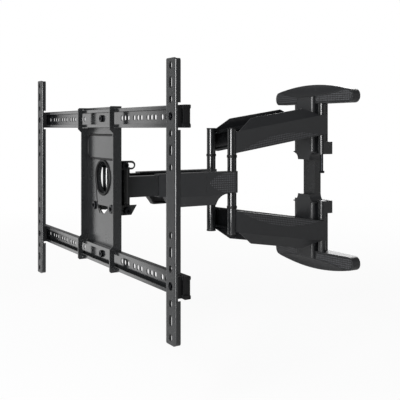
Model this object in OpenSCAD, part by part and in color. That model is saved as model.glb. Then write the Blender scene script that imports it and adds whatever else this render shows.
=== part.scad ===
// Double arm television wall mount, arms out, screen side towards -Y, wall plane at y = 0.
// The origin is on the wall, on the centre line, level with the middle of the mount.

/* [Reach] */
// Distance between the pivot axes of each arm
arm_l = 235; // [180:1:300]
// Distance between the two parallel pivot lines
pivot_gap = 78; // [74:1:96]
// Distance from the wall to the wall pivot axis
wall_gap = 25; // [23:0.5:32]
// Distance from the head pivot axis to the front face of the television brackets
head_reach = 48; // [46:0.5:60]

/* [Pivots] */
// Outside diameter of every pivot tube
tube_d = 18.3; // [16:0.1:19]
// Diameter of the pivot pins
pin_d = 12; // [9:0.5:12.5]
// Running clearance of a pin in its tube, on the radius
pin_fit = 0.05; // [0.02:0.01:0.1]
// Clearance at the one pivot that closes the linkage, on the radius
open_fit = 0.3; // [0.2:0.05:0.6]
// Gap between the end faces of parts that turn on each other
face_gap = 0.1; // [0.05:0.05:0.3]
// Half height of the elbow tubes
elbow_half = 105; // [100:1:120]
// Height of the middle of each elbow ring above the mid-plane
ring_z = 50.8; // [49:0.1:53]
// Thickness of an elbow ring
ring_t = 5; // [3:0.5:5.5]
// Diameter of an elbow ring
ring_d = 20.5; // [19.5:0.1:23]
// Thickness of the end cap on an elbow tube
elbow_cap_t = 2.5; // [1.5:0.5:4]
// Half height of the hub tube at the head
head_hub_half = 31.3; // [28:0.1:31.5]

/* [Arms] */
// Height of the side face of a rear arm with its cover
rear_h = 42.5; // [36:0.5:44]
// Lowest edge of the rear arm side face at the elbow
rear_z = 56.9; // [55:0.1:60]
// Rise of a rear arm from the elbow to the wall
rear_rise = 37; // [28:1:42]
// Half height of the steel front arm
front_half = 19; // [16:0.5:22]
// Steel thickness of the arm channels
arm_t = 3; // [2:0.5:4]
// Wall of the plastic arm covers
cover_t = 2.4; // [1.8:0.1:3]
// Height of the roof on a rear arm cover
roof_h = 21; // [12:1:24]
// Distance from the elbow axis to the start of the roof ridge
roof_start = 47; // [35:1:60]
// Distance from the wall axis to the end of the roof ridge
roof_end = 55; // [45:1:70]
// Depth of the textured field on a cover
field_depth = 0.4; // [0.2:0.1:0.8]
// Height of the arc of the textured field on a rear cover
field_rise = 20; // [12:1:26]
// Distance from the head pivot to the start of the front cover
cover_start = 65; // [58:1:80]
// Depth of the belly below the front cover
belly_h = 22; // [12:1:25]

/* [Wall side] */
// Length of a wall plate
plate_l = 224; // [180:1:230]
// Height of a wall plate
plate_h = 20; // [16:1:20]
// Thickness of a wall plate
plate_t = 3; // [2:0.5:4]
// Spacing of the outer wall bolts
lag_gap = 200; // [160:1:206]
// Diameter of the wall bolts
lag_d = 8; // [6:0.5:10]
// Width of the wall column
column_w = 38; // [30:1:42]
// Depth of the wall column
column_d = 17; // [12:1:18]
// Wall of the column
column_t = 2.5; // [1.5:0.5:4]
// Lowest edge of a wall knuckle above the mid-plane
knuckle_z = 50.6; // [48:0.1:54]
// Height of a wall knuckle
knuckle_h = 27; // [22:0.5:30]
// Height of the flat inner edge of a wall cap above the mid-plane
cap_z = 161; // [159:0.5:166]
// Length of a wall cap
cap_l = 261; // [250:1:300]
// Height of a wall cap at its ends
cap_end_h = 29; // [27:0.5:34]
// Height of a wall cap at its middle
cap_mid_h = 42; // [38:0.5:48]
// Depth of a wall cap at its middle
cap_d = 44; // [42:0.5:50]
// Wall of the wall caps
cap_t = 2.4; // [1.8:0.1:3]
// Width of the neck below a wall cap
neck_w = 58; // [48:0.5:58]
// Diameter of the swing tension bolt
tension_d = 6; // [5:0.5:8]
// Length of the swing tension bolt that hangs below its knuckle
tension_drop = 41; // [30:1:44]

/* [Head] */
// Height of the tilt axis above the mid-plane
tilt_z = -42; // [-43:0.5:-41]
// Distance of the tilt axis in front of the head pivot axis
tilt_front = 2; // [0:0.5:4]
// Height of the clamp bolt above the tilt axis
clamp_r = 82.4; // [80:0.1:84]
// Diameter of the clamp and tilt bolts
tilt_bolt_d = 8; // [6:0.5:8]
// Tilt of the screen downwards that the slot allows
tilt_down = 10; // [5:1:10]
// Tilt of the screen upwards that the slot allows
tilt_up = 5; // [2:1:5]
// Steel thickness of the head and the tilt brackets
head_t = 3; // [2:0.5:4]

/* [Screen frame] */
// Width of the centre plate
centre_w = 152; // [130:1:170]
// Height of the centre plate
centre_h = 292; // [286:1:320]
// Steel thickness of the centre plate
centre_t = 2.5; // [1.5:0.5:3]
// Depth of the centre plate flanges
flange_d = 16; // [12:0.5:20]
// Diameter of the round hole in the centre plate
hole_d = 60; // [40:1:64]
// Height of that hole above the mid-plane
hole_z = 16; // [12:1:18]
// Length of a rail
rail_l = 634; // [632:1:700]
// Height of a rail
rail_h = 34; // [30:0.5:38]
// Depth of a rail
rail_d = 11; // [9:0.5:11.5]
// Steel thickness of a rail
rail_t = 2; // [1.5:0.5:2.5]
// Height of the lip of a rail
lip_h = 6; // [4:0.5:7]
// Height of the rails above and below the mid-plane
rail_z = 125; // [122:1:130]
// Distance of a television bracket's middle from the rail's end
bracket_inset = 17; // [17:1:40]
// Height of a television bracket
bracket_h = 422; // [416:1:460]
// Width of a television bracket
bracket_w = 30; // [26:0.5:34]
// Depth of a television bracket
bracket_d = 9; // [7:0.5:10]
// Depth of the rails behind the front face of the television brackets
rail_seat = 11; // [10.5:0.5:14]
// Steel thickness of a television bracket
bracket_t = 2; // [1.5:0.5:2.5]
// Width of the screw slots in a television bracket
slot_w = 9; // [7:0.5:9.5]

/* [Hidden] */

// Colours of the painted steel, the moulded plastic and the fasteners
steel = "#222326";
plastic = "#2a2b2d";
bolt = "#3c3d40";

// Smoothness of the round surfaces
$fn = 48;
// Overshoot of a cut
cut = 1;
// Clearance of pieces that slide past or hang around each other
slide = 0.3;

// Axes, measured from the wall and the mid-plane
pivot_x = pivot_gap / 2;
wall_y = -wall_gap;
elbow_y = wall_y - arm_l;
head_y = elbow_y - arm_l;
front_y = head_y - head_reach;
tube_r = tube_d / 2;
pin_r = pin_d / 2;
bore_r = pin_r + pin_fit;

// Rear arm heights
ring_top = ring_z + ring_t / 2;
ring_low = ring_z - ring_t / 2;
rear_slope = atan(rear_rise / arm_l);
web_out = tube_r - 0.25;
flange_in = -web_out;
cover_in = tube_r + 0.15;
cover_out = cover_in + cover_t;
lip_under = 2.2;
lip_end = 14;
cover_back = 4;
roof_lip = 1.6;
roof_foot = 6;
roof_ridge_x = 1.2;

// Wall stack along a pivot
knuckle_top = knuckle_z + knuckle_h;
hub_low = knuckle_top + face_gap;
hub_top = cap_z - 0.6;
cap_floor = 2.2;
lug_z = cap_z + cap_floor + 0.4;
lug_t = 4;
lug_r = 6;
pin_tip_d = 8;
tension_depth = 12;
tension_head_d = 11;
tension_head_h = 5;
nut_h = 5;
nut_d = 12;
plate_z = cap_z + cap_end_h / 2;
tongue_w = 60;
tab_t = 3;
bracket_back = plate_t + tab_t;
column_front = wall_y - 3;
column_back = column_front + column_d;
column_half = 148;
neck_r = 8;
neck_end = 38;
flare_z = 56;
flare_w = neck_w + 12;
cap_step = 8.5;
cap_end_d = 20;
saddle_r = 29;
saddle_out = 6;
washer_t = 0.5;

// Front arm
belly_in = 7;
belly_head_top = 16;
belly_head_low = 30;
belly_elbow_top = 19;
belly_elbow_low = 40;
field_tip = 62;
field_mid = 10;
cover_half = front_half + cover_t;

// Head and tilt
head_plate_z = head_hub_half + 0.7;
head_plate_t = 4;
head_top = head_plate_z + head_plate_t;
ear_out = tube_r + pivot_x + 0.45;
ear_t = 4;
tilt_x = ear_out + 0.6;
tilt_y = head_y - tilt_front;
clamp_angle = 3.1;
slot_spare = 1;
clamp_y = tilt_y - clamp_r * sin(clamp_angle);
clamp_z = tilt_z + clamp_r * cos(clamp_angle);
ear_half = 8;
ear_back = 15;
bolt_head_h = 4;
bolt_head_d = 13;
bolt_flange_t = 1;
strip_d = 6.5;
foot_x = 36;
plate_bolt_x = 40;
plate_bolt_z = tilt_z + 3;
plate_bolt_d = 6;
plate_bolt_head_d = 11;
plate_bolt_head_h = 3;

// Screen frame, from front to back
bracket_gap = rail_l - 2 * bracket_inset;
rail_front = front_y + rail_seat;
rail_back = rail_front + rail_d;
centre_back = rail_back + centre_t;
hook_front = front_y + 2;
slot_pitch = 13.5;
group_pitch = 50;
rail_slot_w = 8;
rail_slot_h = 9.5;
rail_bolt_d = 8;
rail_bend_r = 1.5;
end_cap_t = 3;
end_cap_edge = 2;
saddle_h = rail_h - 2;
nut_t = 5;
nut_w = 24;
nut_front = rail_front + rail_t + slide;
bracket_bend_r = 2.6;
bracket_bolt_r = 6;
bracket_bolt_h = 6;
slot_row = 25;
slot_short = 11;
slot_long = 17;
corner = 2.5;
rim_t = 2.5;
rim_l = 6.5;
emboss = 1.5;
panel_w = 138;
panel_h = 43;
panel_z = 72.5;
shield_w = 22;
shield_h = 15;
shield_top = -36;

// A vertical slot in the plane, with round ends
module slot2d(width, height) {
    square([width, height - width], center = true);
    for (end = [-1, 1])
        translate([0, end * (height - width) / 2])
            circle(d = width, $fn = 24);
}

// A rectangle in the plane with round corners
module rounded2d(width, height, radius) {
    square([width - 2 * radius, height], center = true);
    square([width, height - 2 * radius], center = true);
    for (x = [-1, 1], y = [-1, 1])
        translate([x * (width / 2 - radius), y * (height / 2 - radius)])
            circle(r = radius, $fn = 24);
}

// Turns a shape drawn in x and z, and extruded, to face along y from y0 back to y1
module facing(y0, y1) {
    translate([0, y1, 0])
        rotate([90, 0, 0])
            linear_extrude(y1 - y0)
                children();
}

// Turns an outline drawn in distance along the arm and z to span from x0 to x1
module sideways(x0, x1) {
    translate([x1, 0, 0])
        rotate([90, 0, -90])
            linear_extrude(x1 - x0)
                children();
}

// Extrudes an outline drawn in y and z from x0 to x1
module across(x0, x1) {
    translate([x0, 0, 0])
        rotate([90, 0, 90])
            linear_extrude(x1 - x0)
                children();
}

// A cylinder along x from x0 to x1
module rod_x(x0, x1, r) {
    translate([x0, 0, 0])
        rotate([0, 90, 0])
            cylinder(r = r, h = x1 - x0);
}

// A cylinder along y from y0 back to y1
module rod_y(y0, y1, r) {
    translate([0, y1, 0])
        rotate([90, 0, 0])
            cylinder(r = r, h = y1 - y0);
}

// Places a wall pivot part on one side and one level
module at_wall(side, level) {
    mirror([side < 0 ? 1 : 0, 0, 0])
        mirror([0, 0, level < 0 ? 1 : 0])
            translate([pivot_x, wall_y, 0])
                children();
}

// Puts a part on the upper and the lower level
module both_levels() {
    children();
    mirror([0, 0, 1])
        children();
}

// Puts a part on the right and the left side
module both_sides() {
    children();
    mirror([1, 0, 0])
        children();
}

// Steel plate against the wall, with a tongue down to the knuckles and a lug for the pin tops
module wall_plate() {
    difference() {
        union() {
            facing(-plate_t, 0) {
                translate([0, plate_z])
                    rounded2d(plate_l, plate_h, 4);
                translate([-tongue_w / 2, knuckle_z])
                    square([tongue_w, plate_z - knuckle_z]);
            }
            translate([0, 0, lug_z])
                linear_extrude(lug_t) {
                    translate([-pivot_x, wall_y - lug_r + 2])
                        square([pivot_gap, wall_gap + lug_r - 2]);
                    for (x = [-pivot_x, pivot_x])
                        translate([x, wall_y])
                            circle(r = lug_r);
                }
        }
        for (x = [-pivot_x, pivot_x])
            translate([x, wall_y, lug_z - cut])
                cylinder(d = pin_tip_d + 2 * pin_fit, h = lug_t + 2 * cut);
        for (x = [-lag_gap / 2, 0, lag_gap / 2])
            translate([x, 0, plate_z])
                rod_y(-plate_t - cut, cut, lag_d / 2 + 0.5);
    }
}

// Welded bracket with a knuckle tube on each side
module pivot_bracket() {
    difference() {
        union() {
            translate([-pivot_x - tube_r, -bracket_back, knuckle_z])
                cube([pivot_gap + tube_d, tab_t, knuckle_h]);
            for (side = [-1, 1])
                translate([side * (pivot_x + tube_r - tab_t / 2) - tab_t / 2, wall_y, knuckle_z])
                    cube([tab_t, wall_gap - plate_t, knuckle_h]);
            for (x = [-pivot_x, pivot_x])
                translate([x, wall_y, knuckle_z])
                    cylinder(r = tube_r, h = knuckle_h);
        }
        for (x = [-pivot_x, pivot_x])
            translate([x, wall_y, knuckle_z - cut])
                cylinder(r = bore_r, h = knuckle_h + 2 * cut);
    }
}

// Box section column with the standoffs that carry it on the two brackets
module wall_column() {
    color(steel) {
        difference() {
            translate([-column_w / 2, column_front, -column_half])
                cube([column_w, column_d, 2 * column_half]);
            translate([-column_w / 2 + column_t, column_front + column_t, -column_half - cut])
                cube([column_w - 2 * column_t, column_d - 2 * column_t, 2 * (column_half + cut)]);
        }
        both_levels()
            translate([-column_w / 4, column_back, knuckle_z])
                cube([column_w / 2, -bracket_back - column_back, knuckle_h]);
    }
}

// Front outline of a wall cap, drawn in x and z
module cap_outline(inset) {
    end_r = cap_end_h / 2;
    half = cap_l / 2 - end_r;
    rise = cap_mid_h - cap_end_h;
    arc_r = (half * half + rise * rise) / (2 * rise);
    for (x = [-half, half])
        translate([x, cap_z + end_r])
            circle(r = end_r - inset);
    translate([-half, cap_z + inset])
        square([2 * half, cap_end_h - 2 * inset]);
    intersection() {
        translate([-half, cap_z + inset])
            square([2 * half, cap_mid_h]);
        translate([0, cap_z + cap_mid_h - arc_r])
            circle(r = arc_r - inset, $fn = 240);
    }
}

// Plan outline of a wall cap, drawn in x and y
module cap_plan(inset) {
    half = cap_l / 2 + cut;
    mid = neck_w / 2;
    polygon([
        [-half, cut], [-half, -cap_end_d + inset], [-mid, -cap_d + cap_step + inset],
        [mid, -cap_d + cap_step + inset], [half, -cap_end_d + inset], [half, cut]
    ]);
    translate([0, -cap_d / 2 + inset])
        rounded2d(neck_w - 2 * inset, cap_d, neck_r - inset);
}

// Solid form of a wall cap, smaller by the inset, with the hollow front saddle cut away
module cap_form(inset) {
    difference() {
        intersection() {
            facing(-cap_d - cut, inset > 0 ? cut : 0)
                cap_outline(inset);
            translate([0, 0, cap_z - cut])
                linear_extrude(cap_mid_h + 2 * cut)
                    cap_plan(inset);
        }
        translate([0, -cap_d - saddle_out, cap_z + cap_mid_h])
            rod_x(-cap_l, cap_l, saddle_r + inset, $fn = 96);
    }
}

// Section of the neck, drawn in x and y, open towards the wall
module neck_section(inset) {
    translate([0, (-cap_d + column_back) / 2])
        intersection() {
            translate([0, neck_r])
                rounded2d(neck_w - 2 * inset, cap_d + column_back + 2 * neck_r - 2 * inset, neck_r - inset);
            square([neck_w, cap_d + column_back], center = true);
        }
}

// Flared collar where the neck meets the column, drawn in x and z
module collar_outline() {
    r = flare_z - neck_end - cap_t;
    difference() {
        translate([-flare_w / 2, neck_end])
            square([flare_w, flare_z - neck_end]);
        for (side = [-1, 1])
            translate([side * (column_w / 2 + slide + r), neck_end])
                circle(r = r);
    }
}

// Moulded wall cap: hollow boat, floor, neck and flared collar around the column
module wall_cap() {
    difference() {
        cap_form(0);
        difference() {
            cap_form(cap_t);
            translate([-cap_l / 2, -cap_d, cap_z])
                cube([cap_l, cap_d, cap_floor]);
        }
        for (x = [-pivot_x, pivot_x])
            translate([x, wall_y, cap_z - cut])
                cylinder(r = pin_r + 0.5, h = cap_floor + 2 * cut);
        translate([-tongue_w / 2 - slide, -plate_t - slide, cap_z - cut])
            cube([tongue_w + 2 * slide, plate_t + slide + cut, cap_floor + 2 * cut]);
    }
    difference() {
        union() {
            translate([0, 0, flare_z - cap_t])
                linear_extrude(cap_z - flare_z + cap_t + cap_floor / 2)
                    neck_section(0);
            intersection() {
                facing(-cap_d, column_back)
                    collar_outline();
                translate([0, 0, neck_end])
                    linear_extrude(flare_z) {
                        neck_section(0);
                        translate([-flare_w / 2, -cap_d])
                            square([flare_w, cap_d - wall_gap - tube_r - 2 * slide]);
                    }
            }
        }
        translate([0, 0, flare_z - cap_t])
            linear_extrude(cap_z - flare_z + cap_t)
                neck_section(cap_t);
        translate([-column_w / 2 - slide, column_front - slide, neck_end - cut])
            cube([column_w + 2 * slide, column_d + 2 * cut, flare_z]);
    }
}

// Height of the lowest edge of a rear arm at a distance from the wall axis
function rear_low(s) = rear_z + rear_rise * (1 - s / arm_l);

// Sloping band of a rear arm from s0 to s1, drawn in distance from the wall axis and z
module rear_band(s0, s1, low, high) {
    polygon([
        [s0, rear_low(s0) + low], [s1, rear_low(s1) + low],
        [s1, rear_low(s1) + high], [s0, rear_low(s0) + high]
    ]);
}

// Pressed steel channel, open towards the middle, with a hub tube at each end
module rear_arm() {
    difference() {
        union() {
            translate([0, 0, hub_low])
                cylinder(r = tube_r, h = hub_top - hub_low);
            translate([0, -arm_l, ring_top + face_gap])
                cylinder(r = tube_r, h = elbow_half - ring_top - face_gap);
            difference() {
                sideways(flange_in, web_out)
                    rear_band(0, arm_l, lip_under, rear_h - lip_under);
                sideways(flange_in - cut, web_out - arm_t)
                    rear_band(-cut, arm_l + cut, lip_under + arm_t, rear_h - lip_under - arm_t);
            }
        }
        translate([0, 0, hub_low - cut])
            cylinder(r = bore_r, h = hub_top - hub_low + 2 * cut);
        translate([0, -arm_l, ring_top - cut])
            cylinder(r = bore_r, h = elbow_half - ring_top + 2 * cut);
    }
}

// Side outline of the roof of a rear arm cover, with slanted ends that run on past the ridge
module roof_outline() {
    rise = lip_under + roof_h;
    over = (rise + cut) / rise;
    start = roof_foot + (roof_start - roof_foot) * over;
    end = roof_foot + (roof_end - roof_foot) * over;
    foot = rear_h - lip_under;
    top = foot + rise * over;
    polygon([
        [roof_foot, rear_low(roof_foot) + foot],
        [arm_l - roof_foot, rear_low(arm_l - roof_foot) + foot],
        [arm_l - start, rear_low(arm_l - start) + top],
        [end, rear_low(end) + top]
    ]);
}

// Section of the roof across the arm, drawn in x and z from the top of the side face
module roof_section() {
    tall = roof_h * cos(rear_slope);
    foot = 2 * lip_under;
    polygon([
        [cover_out, -foot], [cover_out, slide], [roof_ridge_x, tall],
        [-roof_lip, tall], [-roof_lip, tall - cover_t],
        [roof_ridge_x - roof_lip, tall - cover_t], [cover_in, slide],
        [cover_in, -foot]
    ]);
}

// Moulded cover of a rear arm: side face, lips over the flanges, roof and textured field
module rear_cover() {
    chord = arm_l - 2 * roof_foot;
    arc_r = (chord * chord / 4 + field_rise * field_rise) / (2 * field_rise);
    difference() {
        union() {
            sideways(cover_in, cover_out)
                rear_band(-cover_back, arm_l - slide * 10, 0, rear_h);
            sideways(flange_in + arm_t, cover_out)
                rear_band(lip_end, arm_l - lip_end, 0, lip_under);
            sideways(web_out - arm_t, cover_out)
                rear_band(lip_end, arm_l - lip_end, rear_h - lip_under, rear_h);
            intersection() {
                translate([0, 0, rear_low(0) + rear_h])
                    rotate([rear_slope, 0, 0])
                        facing(-arm_l - tube_d, tube_d)
                            roof_section();
                sideways(-tube_r, cover_out + cut)
                    roof_outline();
            }
        }
        sideways(cover_out - field_depth, cover_out + cut)
            translate([arm_l / 2, rear_low(arm_l / 2)])
                rotate(-rear_slope)
                    translate([0, field_rise - arc_r])
                        circle(r = arc_r, $fn = 240);
    }
}

// Places an elbow part on one side
module at_elbow(side) {
    mirror([side < 0 ? 1 : 0, 0, 0])
        translate([pivot_x, elbow_y, 0])
            children();
}

// Pin through the whole elbow
module elbow_pin() {
    translate([0, 0, -elbow_half])
        cylinder(r = pin_r, h = 2 * elbow_half);
}

// Bearing rings between the rear arms and the front arm
module elbow_rings() {
    both_levels()
        translate([0, 0, ring_low])
            difference() {
                cylinder(d = ring_d, h = ring_t);
                translate([0, 0, -cut])
                    cylinder(r = bore_r, h = ring_t + 2 * cut);
            }
}

// Caps that close the elbow tube
module elbow_caps() {
    both_levels()
        translate([0, 0, elbow_half])
            cylinder(r = tube_r + 0.5, h = elbow_cap_t);
}

// Steel front arm: channel, elbow tube and the shorter tube at the head
module front_arm(head_fit) {
    elbow_tube = ring_low - face_gap;
    difference() {
        union() {
            translate([0, 0, -elbow_tube])
                cylinder(r = tube_r, h = 2 * elbow_tube);
            translate([0, -arm_l, -head_hub_half])
                cylinder(r = tube_r, h = 2 * head_hub_half);
            difference() {
                translate([flange_in, -arm_l, -front_half])
                    cube([web_out - flange_in, arm_l, 2 * front_half]);
                translate([flange_in - cut, -arm_l - cut, -front_half + arm_t])
                    cube([web_out - arm_t - flange_in + cut, arm_l + 2 * cut, 2 * (front_half - arm_t)]);
            }
        }
        translate([0, 0, -elbow_tube - cut])
            cylinder(r = bore_r, h = 2 * (elbow_tube + cut));
        translate([0, -arm_l, -head_hub_half - cut])
            cylinder(r = pin_r + head_fit, h = 2 * (head_hub_half + cut));
    }
}

// Side outline of the belly of the front cover, drawn in distance from the elbow and z
module belly_profile(inset) {
    cover_l = arm_l - cover_start;
    top = -cover_half + cut;
    low = -cover_half - belly_h + inset;
    hollow_r = belly_elbow_low - belly_elbow_top;
    difference() {
        polygon([
            [belly_elbow_top + inset, top], [belly_elbow_top + inset, low], [cover_l - belly_head_low - inset, low],
            [cover_l - belly_head_top - inset, top]
        ]);
        translate([belly_elbow_low - hollow_r - inset, low - inset])
            circle(r = hollow_r + inset);
    }
}

// Moulded cover of the front arm: side face, top and bottom, elbow wrap and the cable belly
module front_cover() {
    cover_l = arm_l - cover_start;
    span = field_tip - field_mid;
    arc_r = (span * span + cover_half * cover_half) / (2 * cover_half);
    difference() {
        union() {
            translate([0, 0, -cover_half])
                linear_extrude(2 * cover_half) {
                    circle(r = cover_out);
                    translate([flange_in, -cover_l])
                        square([cover_out - flange_in, cover_l]);
                }
            intersection() {
                difference() {
                    sideways(flange_in, cover_out)
                        belly_profile(0);
                    sideways(flange_in - cut, cover_out - belly_in - cover_t)
                        belly_profile(cover_t);
                }
                facing(-cover_l, cut)
                    polygon([
                        [flange_in, -cover_half + cut], [cover_out, -cover_half + cut],
                        [cover_out, -cover_half - cover_t],
                        [cover_out - belly_in, -cover_half - belly_h],
                        [flange_in, -cover_half - belly_h]
                    ]);
            }
        }
        translate([0, 0, -cover_half - cut])
            cylinder(r = cover_in, h = 2 * (cover_half + cut));
        translate([flange_in - cut, -cover_l - cut, -front_half])
            cube([cover_in - flange_in + cut, cover_l + cut, 2 * front_half]);
        sideways(cover_out - field_depth, cover_out + cut)
            intersection() {
                translate([field_mid, cover_half - arc_r])
                    circle(r = arc_r, $fn = 120);
                translate([field_mid, arc_r - cover_half])
                    circle(r = arc_r, $fn = 120);
            }
    }
}

// Plan of a yoke plate, drawn in x and y, with round ends over the pivots
module yoke_plan() {
    translate([-pivot_x, head_y - ear_half])
        square([pivot_gap, ear_half + tube_r]);
    translate([-ear_out, head_y - ear_half])
        square([2 * ear_out, ear_half]);
    for (x = [-pivot_x, pivot_x])
        translate([x, head_y])
            circle(r = tube_r);
}

// Side outline of the two ears, drawn in y and z
module ear_outline() {
    for (ear = [[clamp_y, clamp_z, 1], [tilt_y, tilt_z, -1]]) {
        translate([ear[0], ear[1]])
            circle(r = ear_half);
        translate([ear[0] - ear_half, min(ear[1], ear[2] * head_plate_z)])
            square([2 * ear_half, abs(ear[1]) - head_plate_z]);
    }
}

// Yoke of the head: two plates on the pins, the web between them and the tilt ears
module head_yoke() {
    mid_w = 2 * (pivot_x - tube_r - slide) - head_plate_t;
    color(steel)
        difference() {
            union() {
                both_levels()
                    translate([0, 0, head_plate_z])
                        linear_extrude(head_plate_t)
                            yoke_plan();
                translate([-mid_w / 2, head_y - head_plate_t, -head_plate_z])
                    cube([mid_w, head_plate_t, 2 * head_plate_z]);
                both_sides()
                    across(ear_out - ear_t, ear_out)
                        ear_outline();
            }
            for (x = [-pivot_x, pivot_x])
                translate([x, head_y, -head_top - cut])
                    cylinder(r = pin_r, h = 2 * (head_top + cut));
            for (place = [[clamp_y, clamp_z], [tilt_y, tilt_z]])
                translate([0, place[0], place[1]])
                    rod_x(-ear_out - cut, ear_out + cut, tilt_bolt_d / 2);
        }
}

// Pins of the head
module head_pins() {
    color(bolt)
        both_sides()
            translate([pivot_x, head_y, -head_top])
                cylinder(r = pin_r, h = 2 * head_top);
}

// Thin washers above and below the head tubes
module head_washers() {
    color(plastic)
        both_sides()
            both_levels()
                translate([pivot_x, head_y, head_plate_z - washer_t])
                    difference() {
                        cylinder(r = tube_r, h = washer_t);
                        translate([0, 0, -cut])
                            cylinder(r = pin_r, h = washer_t + 2 * cut);
                    }
}

// A flanged bolt along x through a head ear and a tilt bracket
module ear_bolt() {
    seat = tilt_x + head_t + face_gap;
    rod_x(ear_out - ear_t, seat + cut, tilt_bolt_d / 2);
    rod_x(seat, seat + bolt_flange_t, ear_half - slide);
    rod_x(seat, seat + bolt_flange_t + bolt_head_h, bolt_head_d / 2);
}

// Bolts that lock the tilt
module clamp_bolts() {
    color(bolt)
        both_sides()
            translate([0, clamp_y, clamp_z])
                ear_bolt();
}

// Bolts that the screen tilts on
module tilt_bolts() {
    color(bolt)
        both_sides()
            translate([0, tilt_y, tilt_z])
                ear_bolt();
}

// Curved slot of the tilt, drawn in y and z
module tilt_slot() {
    slot_r = tilt_bolt_d / 2 + slide;
    back = tilt_down - clamp_angle + slot_spare;
    front = -tilt_up - clamp_angle - slot_spare;
    far = 2 * clamp_r;
    translate([tilt_y, tilt_z]) {
        intersection() {
            difference() {
                circle(r = clamp_r + slot_r, $fn = 180);
                circle(r = clamp_r - slot_r, $fn = 180);
            }
            polygon([[0, 0], [far * sin(front), far * cos(front)], [far * sin(back), far * cos(back)]]);
        }
        for (a = [front, back])
            translate([clamp_r * sin(a), clamp_r * cos(a)])
                circle(r = slot_r - slide);
    }
}

// Bent steel bracket behind the centre plate, with the slotted and the pivot ear
module tilt_bracket() {
    ear_low = clamp_z - ear_half;
    top = clamp_z + ear_half;
    low = tilt_z - ear_half;
    reach = head_y + ear_back;
    difference() {
        union() {
            across(tilt_x, tilt_x + head_t) {
                translate([centre_back, low])
                    square([strip_d, top - low]);
                translate([centre_back, ear_low])
                    square([reach - ear_half - centre_back, top - ear_low]);
                translate([reach - ear_half, clamp_z])
                    circle(r = ear_half);
                polygon([
                    [centre_back, low], [reach - ear_half, low],
                    [reach + head_t, -ear_low], [centre_back, -ear_low]
                ]);
            }
            translate([foot_x, centre_back, low])
                cube([tilt_x + head_t - foot_x, head_t, head_hub_half - head_t - low]);
        }
        across(tilt_x - cut, tilt_x + head_t + cut)
            tilt_slot();
        translate([0, tilt_y, tilt_z])
            rod_x(tilt_x - cut, tilt_x + head_t + cut, tilt_bolt_d / 2 + pin_fit);
        translate([plate_bolt_x, 0, plate_bolt_z])
            rod_y(centre_back - cut, centre_back + head_t + cut, plate_bolt_d / 2);
    }
}

// Side outline of a centre plate flange, drawn in y and z
module flange_outline() {
    shallow = centre_back - flange_d;
    half = centre_h / 2;
    wide_z = rail_z - rail_h / 2 - corner;
    step = shallow - hook_front;
    polygon([
        [centre_back, -half], [hook_front + corner, -half],
        [hook_front, -half + corner], [hook_front, -wide_z],
        [shallow, -wide_z + step], [shallow, wide_z - step],
        [hook_front, wide_z], [hook_front, half - corner],
        [hook_front + corner, half], [centre_back, half]
    ]);
}

// Shield shaped hole low in the centre plate, drawn in x and z
module shield_outline() {
    tip = shield_w / 5;
    polygon([
        [-shield_w, shield_top], [shield_w, shield_top], [shield_w, shield_top - tip],
        [tip, shield_top - shield_h], [-tip, shield_top - shield_h], [-shield_w, shield_top - tip]
    ]);
}

// Pressed centre plate with its flanges, rail windows, round hole and embossed panel
module centre_plate() {
    color(steel)
        difference() {
            union() {
                facing(rail_back, centre_back)
                    square([centre_w, centre_h], center = true);
                both_sides()
                    across(centre_w / 2 - centre_t, centre_w / 2)
                        flange_outline();
                translate([0, 0, hole_z])
                    rod_y(rail_back, centre_back + rim_l, hole_d / 2 + rim_t);
                facing(rail_back - emboss, rail_back)
                    translate([0, panel_z])
                        rounded2d(panel_w, panel_h, 4 * corner);
            }
            translate([0, 0, hole_z])
                rod_y(rail_back - cut, centre_back + rim_l + cut, hole_d / 2);
            both_levels()
                translate([-centre_w, rail_front - slide, rail_z - rail_h / 2 - slide])
                    cube([2 * centre_w, rail_d + slide, rail_h + 2 * slide]);
            both_levels()
                translate([0, 0, rail_z])
                    rod_y(rail_back - cut, centre_back + cut, rail_bolt_d / 2);
            both_sides()
                translate([plate_bolt_x, 0, plate_bolt_z])
                    rod_y(rail_back - cut, centre_back + cut, plate_bolt_d / 2);
            facing(rail_back - cut, centre_back + cut)
                shield_outline();
        }
}

// Lipped channel rail with groups of three slots
module rail() {
    last_group = floor((rail_l / 2 - slot_pitch) / group_pitch);
    difference() {
        across(-rail_l / 2, rail_l / 2)
            difference() {
                translate([rail_front + rail_d / 2, 0])
                    rounded2d(rail_d, rail_h, rail_bend_r);
                translate([rail_front + rail_t, -rail_h / 2 + rail_t])
                    square([rail_d - 2 * rail_t, rail_h - 2 * rail_t]);
                translate([rail_front - cut, -rail_h / 2 + lip_h])
                    square([rail_t + 2 * cut, rail_h - 2 * lip_h]);
            }
        facing(rail_back - rail_t - cut, rail_back + cut)
            for (side = [-1, 1], group = [2:last_group], k = [-1:1])
                translate([side * group * group_pitch + k * slot_pitch, 0])
                    slot2d(rail_slot_w, rail_slot_h);
        rod_y(rail_back - rail_t - cut, rail_back + cut, rail_bolt_d / 2);
    }
}

// Bolts that hold the rails on the centre plate
module rail_bolts() {
    color(bolt)
        both_levels()
            translate([0, 0, rail_z]) {
                rod_y(rail_back - rail_t - bolt_head_h, rail_back - rail_t, bolt_head_d / 2);
                rod_y(rail_back - rail_t - cut, centre_back, rail_bolt_d / 2);
            }
}

// Bolts that hold the tilt brackets on the centre plate
module plate_bolts() {
    color(bolt)
        both_sides()
            translate([plate_bolt_x, 0, plate_bolt_z]) {
                rod_y(rail_back - plate_bolt_head_h, rail_back, plate_bolt_head_d / 2);
                rod_y(rail_back - cut, centre_back + head_t, plate_bolt_d / 2);
            }
}

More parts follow.
